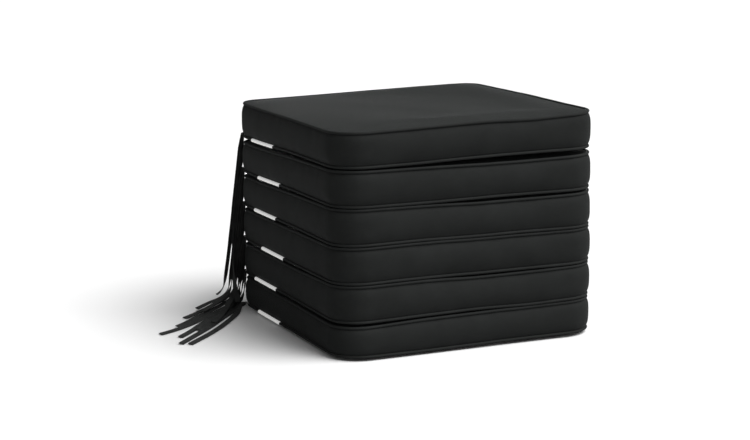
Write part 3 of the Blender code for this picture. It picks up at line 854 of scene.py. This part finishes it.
def puckers(pad, points, normals):
    """Small gathers across each seam, dying away within some 15 mm of it, and a slow swell over the
    panels."""
    x, y, z = points[:, 0], points[:, 1], points[:, 2] - pad_middle(pad)
    half = PAD_WIDTH / 2
    off_x, off_y = half - np.abs(x), half - np.abs(y)
    on_panel = np.abs(normals[:, 2]) > 0.6
    side = np.sign(z)
    seed = 900 + 20 * pad
    reach = 0.013
    front_back = waves(x + 0.3 * np.sign(y), seed + 1, 0.055, 0.012, 6)
    front_back = np.exp(-np.clip(off_y, 0, None) / reach) * front_back
    left_right = waves(y + 0.3 * np.sign(x), seed + 2, 0.055, 0.012, 6)
    left_right = np.exp(-np.clip(off_x, 0, None) / reach) * left_right
    to_rim = np.minimum(off_x, off_y).clip(0)
    near_rim = 1 - np.exp(-to_rim / 0.003)
    panel = 0.00075 * (front_back + left_right) * near_rim
    round_pad = rim_share(x, y) * 4 * PAD_WIDTH
    to_seam = np.clip(BOXING / 2 - np.abs(z), 0, None)
    gathers = np.exp(-to_seam / 0.012) * (1 - np.exp(-to_seam / 0.0015))
    band = 0.0009 * gathers * waves(round_pad + 0.7 * side, seed + 3, 0.06, 0.011, 7)
    band += 0.0006 * waves(round_pad, seed + 5, 0.30, 0.07, 5) * np.cos(np.pi * z / BOXING)
    swell = 0.0007 * waves(x * 0.8 + y * 0.6, seed + 6, 0.25, 0.09, 5) * (1 - np.exp(-to_rim / 0.04))
    move = np.where(on_panel, panel + swell, band)
    return points + normals * move[:, None]


def top_crown(points):
    """The free top of the stack: its panel swells most towards the back, and dips a little across
    the middle."""
    x, y = points[:, 0], points[:, 1]
    edge = np.clip(1 - np.maximum(np.abs(x), np.abs(y)) / (PAD_WIDTH / 2), 0, 1)
    room = 1 - np.exp(-edge / 0.09)
    lift = 0.0012 + 0.0030 * np.clip(y / 0.2, -0.3, 1) * np.clip(0.5 + x / 0.3, 0, 1)
    lift += 0.0009 * waves(x, 71, 0.30, 0.12, 3)
    upper = points[:, 2] > pad_middle(PADS - 1)
    return points + np.array([0, 0, 1.0]) * (lift * room * upper)[:, None]


def pad_cover(pad, painted_light_panel_cloth, painted_shade_band_cloth, shared):
    """One cover: laid out, filled, gathered at its seams, and eased flat where it lies on its
    neighbours and behind its zip."""
    quads, cloth_map, seams, panel_faces = shared
    name = f"pad_{pad + 1}_cover"
    points = cover_shape(pad, FULLNESS_LAID_OUT)
    cover = link(name, mesh_of(name, points, quads, cloth_map, painted_light_panel_cloth))
    # The boxing takes the darker copy of the cloth: painted shade on the pad's sides.
    cover.data.materials.append(painted_shade_band_cloth)
    slots = np.zeros(len(quads), np.int32)
    slots[2 * panel_faces:] = 1
    cover.data.polygons.foreach_set("material_index", slots)
    points = fill_with_foam(cover, seams, FOAM_PUSH)
    cover.data.vertices.foreach_set("co", points.astype(np.float32).ravel())
    cover.data.update()
    normals = np.empty(points.size, np.float32)
    cover.data.vertex_normals.foreach_get("vector", normals)
    free = np.ones(len(points))
    free[seams] = 0
    moved = puckers(pad, points, normals.reshape(-1, 3))
    points = points + (moved - points) * free[:, None]
    if pad == PADS - 1:
        points = top_crown(points)
    points = under_zip(pad, rest_flat(pad, points))
    cover.data.vertices.foreach_set("co", points.astype(np.float32).ravel())
    cover.data.update()
    smooth = cover.modifiers.new("smooth", "SUBSURF")
    smooth.levels = smooth.render_levels = 1
    smooth.boundary_smooth = "PRESERVE_CORNERS"
    hidden = ("top_panel", "bottom_panel", "boxing", "foam_core")
    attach(cover, f"pad_{pad + 1}")
    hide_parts(*[f"pad_{pad + 1}_{part}" for part in hidden])
    return cover


def seam_piping(pad, side, cloth):
    """The covered cord in one seam, closed round the pad, its radius breathing by a few hundredths."""
    line = seam_line(pad, side, 0.0)
    gone = lengths(line, True)
    dense = np.linspace(0, gone[-1], 560, endpoint=False)
    closed = np.vstack([line, line[:1]])
    path = np.stack([np.interp(dense, gone, closed[:, axis]) for axis in range(3)], -1)
    for _ in range(4):
        path = (np.roll(path, 1, 0) + 2 * path + np.roll(path, -1, 0)) / 4
    radius = PIPING / 2 * (1 + 0.035 * waves(dense / gone[-1], 80 + 2 * pad + side, 0.11, 0.006, 8))
    solid = f"pad_{pad + 1}_{'top' if side > 0 else 'bottom'}_piping"
    name = f"{solid}_cord"
    piece = link(name, tube(name, path, radius, 14, cloth, closed=True))
    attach(piece, f"pad_{pad + 1}")
    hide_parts(solid)
    return piece


# ---------------------------------------------------------------- labels and zips

def care_label(pad, cloth):
    """A blank white label sewn in the left bottom seam: it comes out between the boxing and the piping,
    turns down over the piping and hangs there, wavering a little. The one on the floor is bent outwards."""
    name = f"pad_{pad + 1}_blank_label"
    columns, rows = 40, 15
    along = LABEL_MIDDLES[pad] + LABEL_WIDTH / 2 - np.linspace(0, LABEL_WIDTH, columns)
    seam = seam_line(pad, -1, 0.0)
    left = seam[seam[:, 0] < -PAD_WIDTH / 2 + 0.002]
    left = left[np.argsort(left[:, 1])]
    height = np.interp(along, left[:, 1], left[:, 2])
    side = np.interp(along, left[:, 1], left[:, 0])
    clear = PIPING / 2 + 0.0004
    turn = np.array([(-0.0050, -0.0002), (-0.0012, 0.0013), (0.0004, 0.0019), (0.0016, 0.0016),
                     (clear + 0.0001, 0.0010), (clear + 0.0002, 0.0), (clear + 0.0001, -0.0012),
                     (clear - 0.0001, -0.0014), (clear - 0.0002, -0.0020)])
    gone = lengths(turn)
    wanted = np.linspace(0, gone[-1], rows)
    profile = np.stack([np.interp(wanted, gone, turn[:, axis]) for axis in range(2)], -1)
    for _ in range(2):
        profile[1:-1] = (profile[:-2] + 2 * profile[1:-1] + profile[2:]) / 4
    hang = np.clip(-profile[:, 1] / 0.004, 0, 1)[:, None]
    waver = 0.0004 * waves(along, 600 + pad, 0.09, 0.025, 4)[None, :] * hang
    x = side[None, :] - profile[:, 0:1] - np.abs(waver)
    z = height[None, :] + profile[:, 1:2] + 0.0003 * waves(along, 700 + pad, 0.08, 0.03, 3)[None, :] * hang
    ease = 0.0007 + LABEL_THICKNESS
    x = x - np.clip(ease - z, 0, None)
    z = np.maximum(z, ease)
    points = np.stack([x, np.broadcast_to(along[None, :], x.shape), z], -1)
    gone = lengths(profile)
    uv = grid_map(np.linspace(0, LABEL_WIDTH, columns), gone)[:, ::-1]
    quads = grid_quads(rows, columns)[:, ::-1]
    label = link(name, mesh_of(name, points.reshape(-1, 3), quads, uv, cloth))
    skin = label.modifiers.new("cloth", "SOLIDIFY")
    skin.thickness = LABEL_THICKNESS
    skin.offset = 1
    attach(label, f"pad_{pad + 1}")
    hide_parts(f"pad_{pad + 1}_care_label")
    return label


def zip_face():
    """How far back the zip's outer face lies."""
    return PAD_DEPTH / 2 + BULGE + CLEARANCE + ZIP_THICKNESS


def coil_tooth(bow):
    """The middle line of one round of the coil, bent over the chain's middle from the tape on one
    side: (0.35 sin 1.3a, 0.9 cos a, 1.5 - 1.4 sin a) in millimetres."""
    turn = np.linspace(-0.35 * np.pi, 0.62 * np.pi, 7)
    return np.stack([0.00035 * np.sin(turn * 1.3), 0.0009 * np.cos(turn),
                     bow * (0.0015 - 0.0014 * np.sin(turn))], -1)


def zip_chain(pad, tape_cloth, coil):
    """The closed zip: two woven tapes and the two meshed coils down the middle."""
    body = f"pad_{pad + 1}"
    middle = pad_middle(pad)
    face = zip_face()
    columns = 120
    along = np.linspace(-ZIP_LENGTH / 2, ZIP_LENGTH / 2, columns)
    made = []
    section = np.array([(-0.0034, -0.00145), (-0.0034, -0.0009), (-0.0031, -0.0006),
                        (-0.0016, -0.0005), (-0.0002, -0.00075), (-0.0002, -0.0013)])
    for side in (1, -1):
        rows = np.array([(side * z, y) for z, y in section])
        ring = len(rows)
        points = np.empty((columns, ring, 3))
        points[..., 0] = along[:, None]
        points[..., 1] = face + rows[None, :, 1] + 0.00008 * waves(along, 30 + pad, 0.08, 0.02, 4)[:, None]
        points[..., 2] = middle + rows[None, :, 0]
        quads = grid_quads(columns, ring, around=True)
        gone = lengths(rows)
        uv = grid_map(np.concatenate([gone, [gone[-1] + 0.003]]), along - along[0])
        name = f"{body}_zip_tape_{'upper' if side > 0 else 'lower'}"
        tape = link(name, mesh_of(name, points.reshape(-1, 3), quads, uv, tape_cloth))
        close_ends(tape.data)
        made.append(tape)
        places = np.arange(-ZIP_LENGTH / 2 + 0.0015, ZIP_LENGTH / 2 - 0.001, COIL_PITCH)
        places = places + (0 if side > 0 else COIL_PITCH / 2)
        path = coil_tooth(side)
        tooth_mesh = tube(f"{body}_tooth", path, 0.00038, 6, None, closed=False)
        shape = np.empty(len(tooth_mesh.vertices) * 3, np.float32)
        tooth_mesh.vertices.foreach_get("co", shape)
        shape = shape.reshape(-1, 3)
        faces = grid_quads(len(path), 6, around=True)[:, ::-1]
        bpy.data.meshes.remove(tooth_mesh)
        count = len(places)
        roots = np.stack([places, np.full(count, face - 0.0006), np.full(count, middle)], -1)
        points = shape[None] + roots[:, None]
        many = (faces[None] + (np.arange(count) * len(shape))[:, None, None]).reshape(-1, 4)
        name = f"{body}_zip_coil_{'upper' if side > 0 else 'lower'}"
        teeth = link(name, mesh_of(name, points.reshape(-1, 3), many, None, coil))
        close_ends(teeth.data)
        made.append(teeth)
    for piece in made:
        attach(piece, body)
        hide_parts(f"{body}_zip_chain")
    return made


def slab(width, height, thickness, corner, bulge):
    """A closed plate lying across Y with a rounded outline: each outline point is at
    (w |cos a|^c, h |sin a|^c) with c = corner, and its faces are drawn in towards a soft edge."""
    sides = 28
    angle = np.linspace(0, 2 * np.pi, sides, endpoint=False)
    outline = np.stack([np.sign(np.cos(angle)) * np.abs(np.cos(angle)) ** corner * width / 2,
                        np.sign(np.sin(angle)) * np.abs(np.sin(angle)) ** corner * height / 2], -1)
    half = thickness / 2
    rows = [(0.02, -half - bulge), (0.6, -half - 0.6 * bulge), (0.93, -half), (1.0, -thickness * 0.32),
            (1.0, thickness * 0.32), (0.93, half), (0.6, half + 0.6 * bulge), (0.02, half + bulge)]
    points = []
    for share, depth in rows:
        points.append(np.stack([outline[:, 0] * share, np.full(sides, depth), outline[:, 1] * share], -1))
    return np.concatenate(points), grid_quads(len(rows), sides, around=True)


def put(name, points, quads, place, material):
    """A closed piece from a net open only at its two ends."""
    piece = link(name, mesh_of(name, points + np.array(place), quads, None, material))
    close_ends(piece.data)
    return piece


def zip_slider(pad, enamel):
    """The slider at the closed end: its body with a flared nose, the bail over it and the pull with
    its eye."""
    body = f"pad_{pad + 1}_slider"
    name = f"pad_{pad + 1}_zip"
    face = zip_face()
    x0, z0 = ZIP_LENGTH / 2 - SLIDER_LENGTH, pad_middle(pad)
    points, quads = slab(SLIDER_LENGTH, SLIDER_HEIGHT, SLIDER_THICKNESS * 0.55, 0.55, 0.0002)
    nose = np.clip(points[:, 0] / (SLIDER_LENGTH / 2), -1, 1)
    points[:, 2] *= 0.86 + 0.14 * nose
    back = face + CLEARANCE
    bail_root = back + SLIDER_THICKNESS * 0.42
    made = [put(f"{name}_slider_body", points, quads, (x0, back + SLIDER_THICKNESS * 0.30, z0), enamel)]
    turn = np.linspace(0, np.pi, 15)
    path = np.stack([x0 + 0.0040 * np.cos(turn), bail_root + 0.0013 * np.sin(turn) ** 0.7,
                     np.full(len(turn), z0)], -1)
    rail = tube(f"{name}_bail", path, 0.00055, 8, enamel, closed=False)
    bail = link(f"{name}_bail", rail)
    close_ends(rail)
    made.append(bail)
    made.append(pull_tab(f"{name}_pull", x0, bail_root + 0.0003, z0, enamel))
    for piece in made:
        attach(piece, body)
        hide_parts(f"pad_{pad + 1}_zip_slider")
    return made


def pull_tab(name, x, y, z, enamel):
    """The pull hangs from the bail: a plate with a long eye at its top and a rounded foot.
    It is a net between the eye's outline and the plate's own, closed round its edges."""
    sides = 36
    angle = np.linspace(0, 2 * np.pi, sides, endpoint=False)
    wide, tall = PULL_WIDTH / 2, PULL_LENGTH / 2
    taper = wide * (0.82 - 0.18 * np.sin(angle))
    outer = np.stack([np.sign(np.cos(angle)) * np.abs(np.cos(angle)) ** 0.5 * taper,
                      np.sign(np.sin(angle)) * np.abs(np.sin(angle)) ** 0.7 * tall - tall + 0.0022], -1)
    inner = np.stack([np.cos(angle) * 0.0011, np.sin(angle) * 0.0016], -1)
    half = 0.0006
    rows = [(inner, 0.0, -half), (inner, 0.0, half), (inner, 0.25, half), (outer, 0.0, half * 0.8),
            (outer, 0.0, -half * 0.8), (inner, 0.25, -half)]
    points = []
    for line, share, depth in rows:
        flat = line * (1 - share) + outer * share if share else line
        points.append(np.stack([flat[:, 0], np.full(sides, depth), flat[:, 1]], -1))
    points = np.concatenate(points)
    quads = grid_quads(len(rows), sides, around=True)
    last = (len(rows) - 1) * sides + np.arange(sides)
    following = (np.arange(sides) + 1) % sides
    ahead = (len(rows) - 1) * sides + following
    quads = np.vstack([quads, np.stack([last, ahead, following, np.arange(sides)], -1)])
    tab = link(name, mesh_of(name, points + np.array([x, y, z]), quads, None, enamel))
    close_ends(tab.data)
    return tab


# ---------------------------------------------------------------- the stack

studio_camera()
tape = tie_tape("black_tie_tape")
for pad in range(PADS):
    for over in (True, False):
        tie_tail(pad, over, tape)

# One charcoal fabric in two copies. The panel cloth is painted about half as light again as the boxing cloth.
# This is painted light on the tops and painted shade on the sides, standing in for the light from above.
painted_light_panel_cloth = charcoal_cloth("charcoal_panel_cloth_painted_light", (0.020, 0.0215, 0.021), (0.031, 0.033, 0.032))
painted_shade_band_cloth = charcoal_cloth("charcoal_boxing_cloth", (0.0135, 0.0144, 0.0140), (0.0215, 0.0229, 0.0223))
cord_cloth = charcoal_cloth("charcoal_piping_cloth", (0.0150, 0.0160, 0.0155), (0.0250, 0.0265, 0.0260),
                            turn=math.pi / 4)
label_cloth = white_label("white_label_cloth_painted_light_and_shade")
zip_tape = tie_tape("black_zip_tape")
zip_coil = zip_plastic("black_zip_coil", (0.012, 0.012, 0.012), (0.02, 0.02, 0.02), 0.34)
enamel = slider_enamel("black_slider_enamel")
net = cover_faces()
for pad in range(PADS):
    pad_cover(pad, painted_light_panel_cloth, painted_shade_band_cloth, net)
    for side in (1, -1):
        seam_piping(pad, side, cord_cloth)
    care_label(pad, label_cloth)
    zip_chain(pad, zip_tape, zip_coil)
    zip_slider(pad, enamel)

pale_floor()
studio_light()
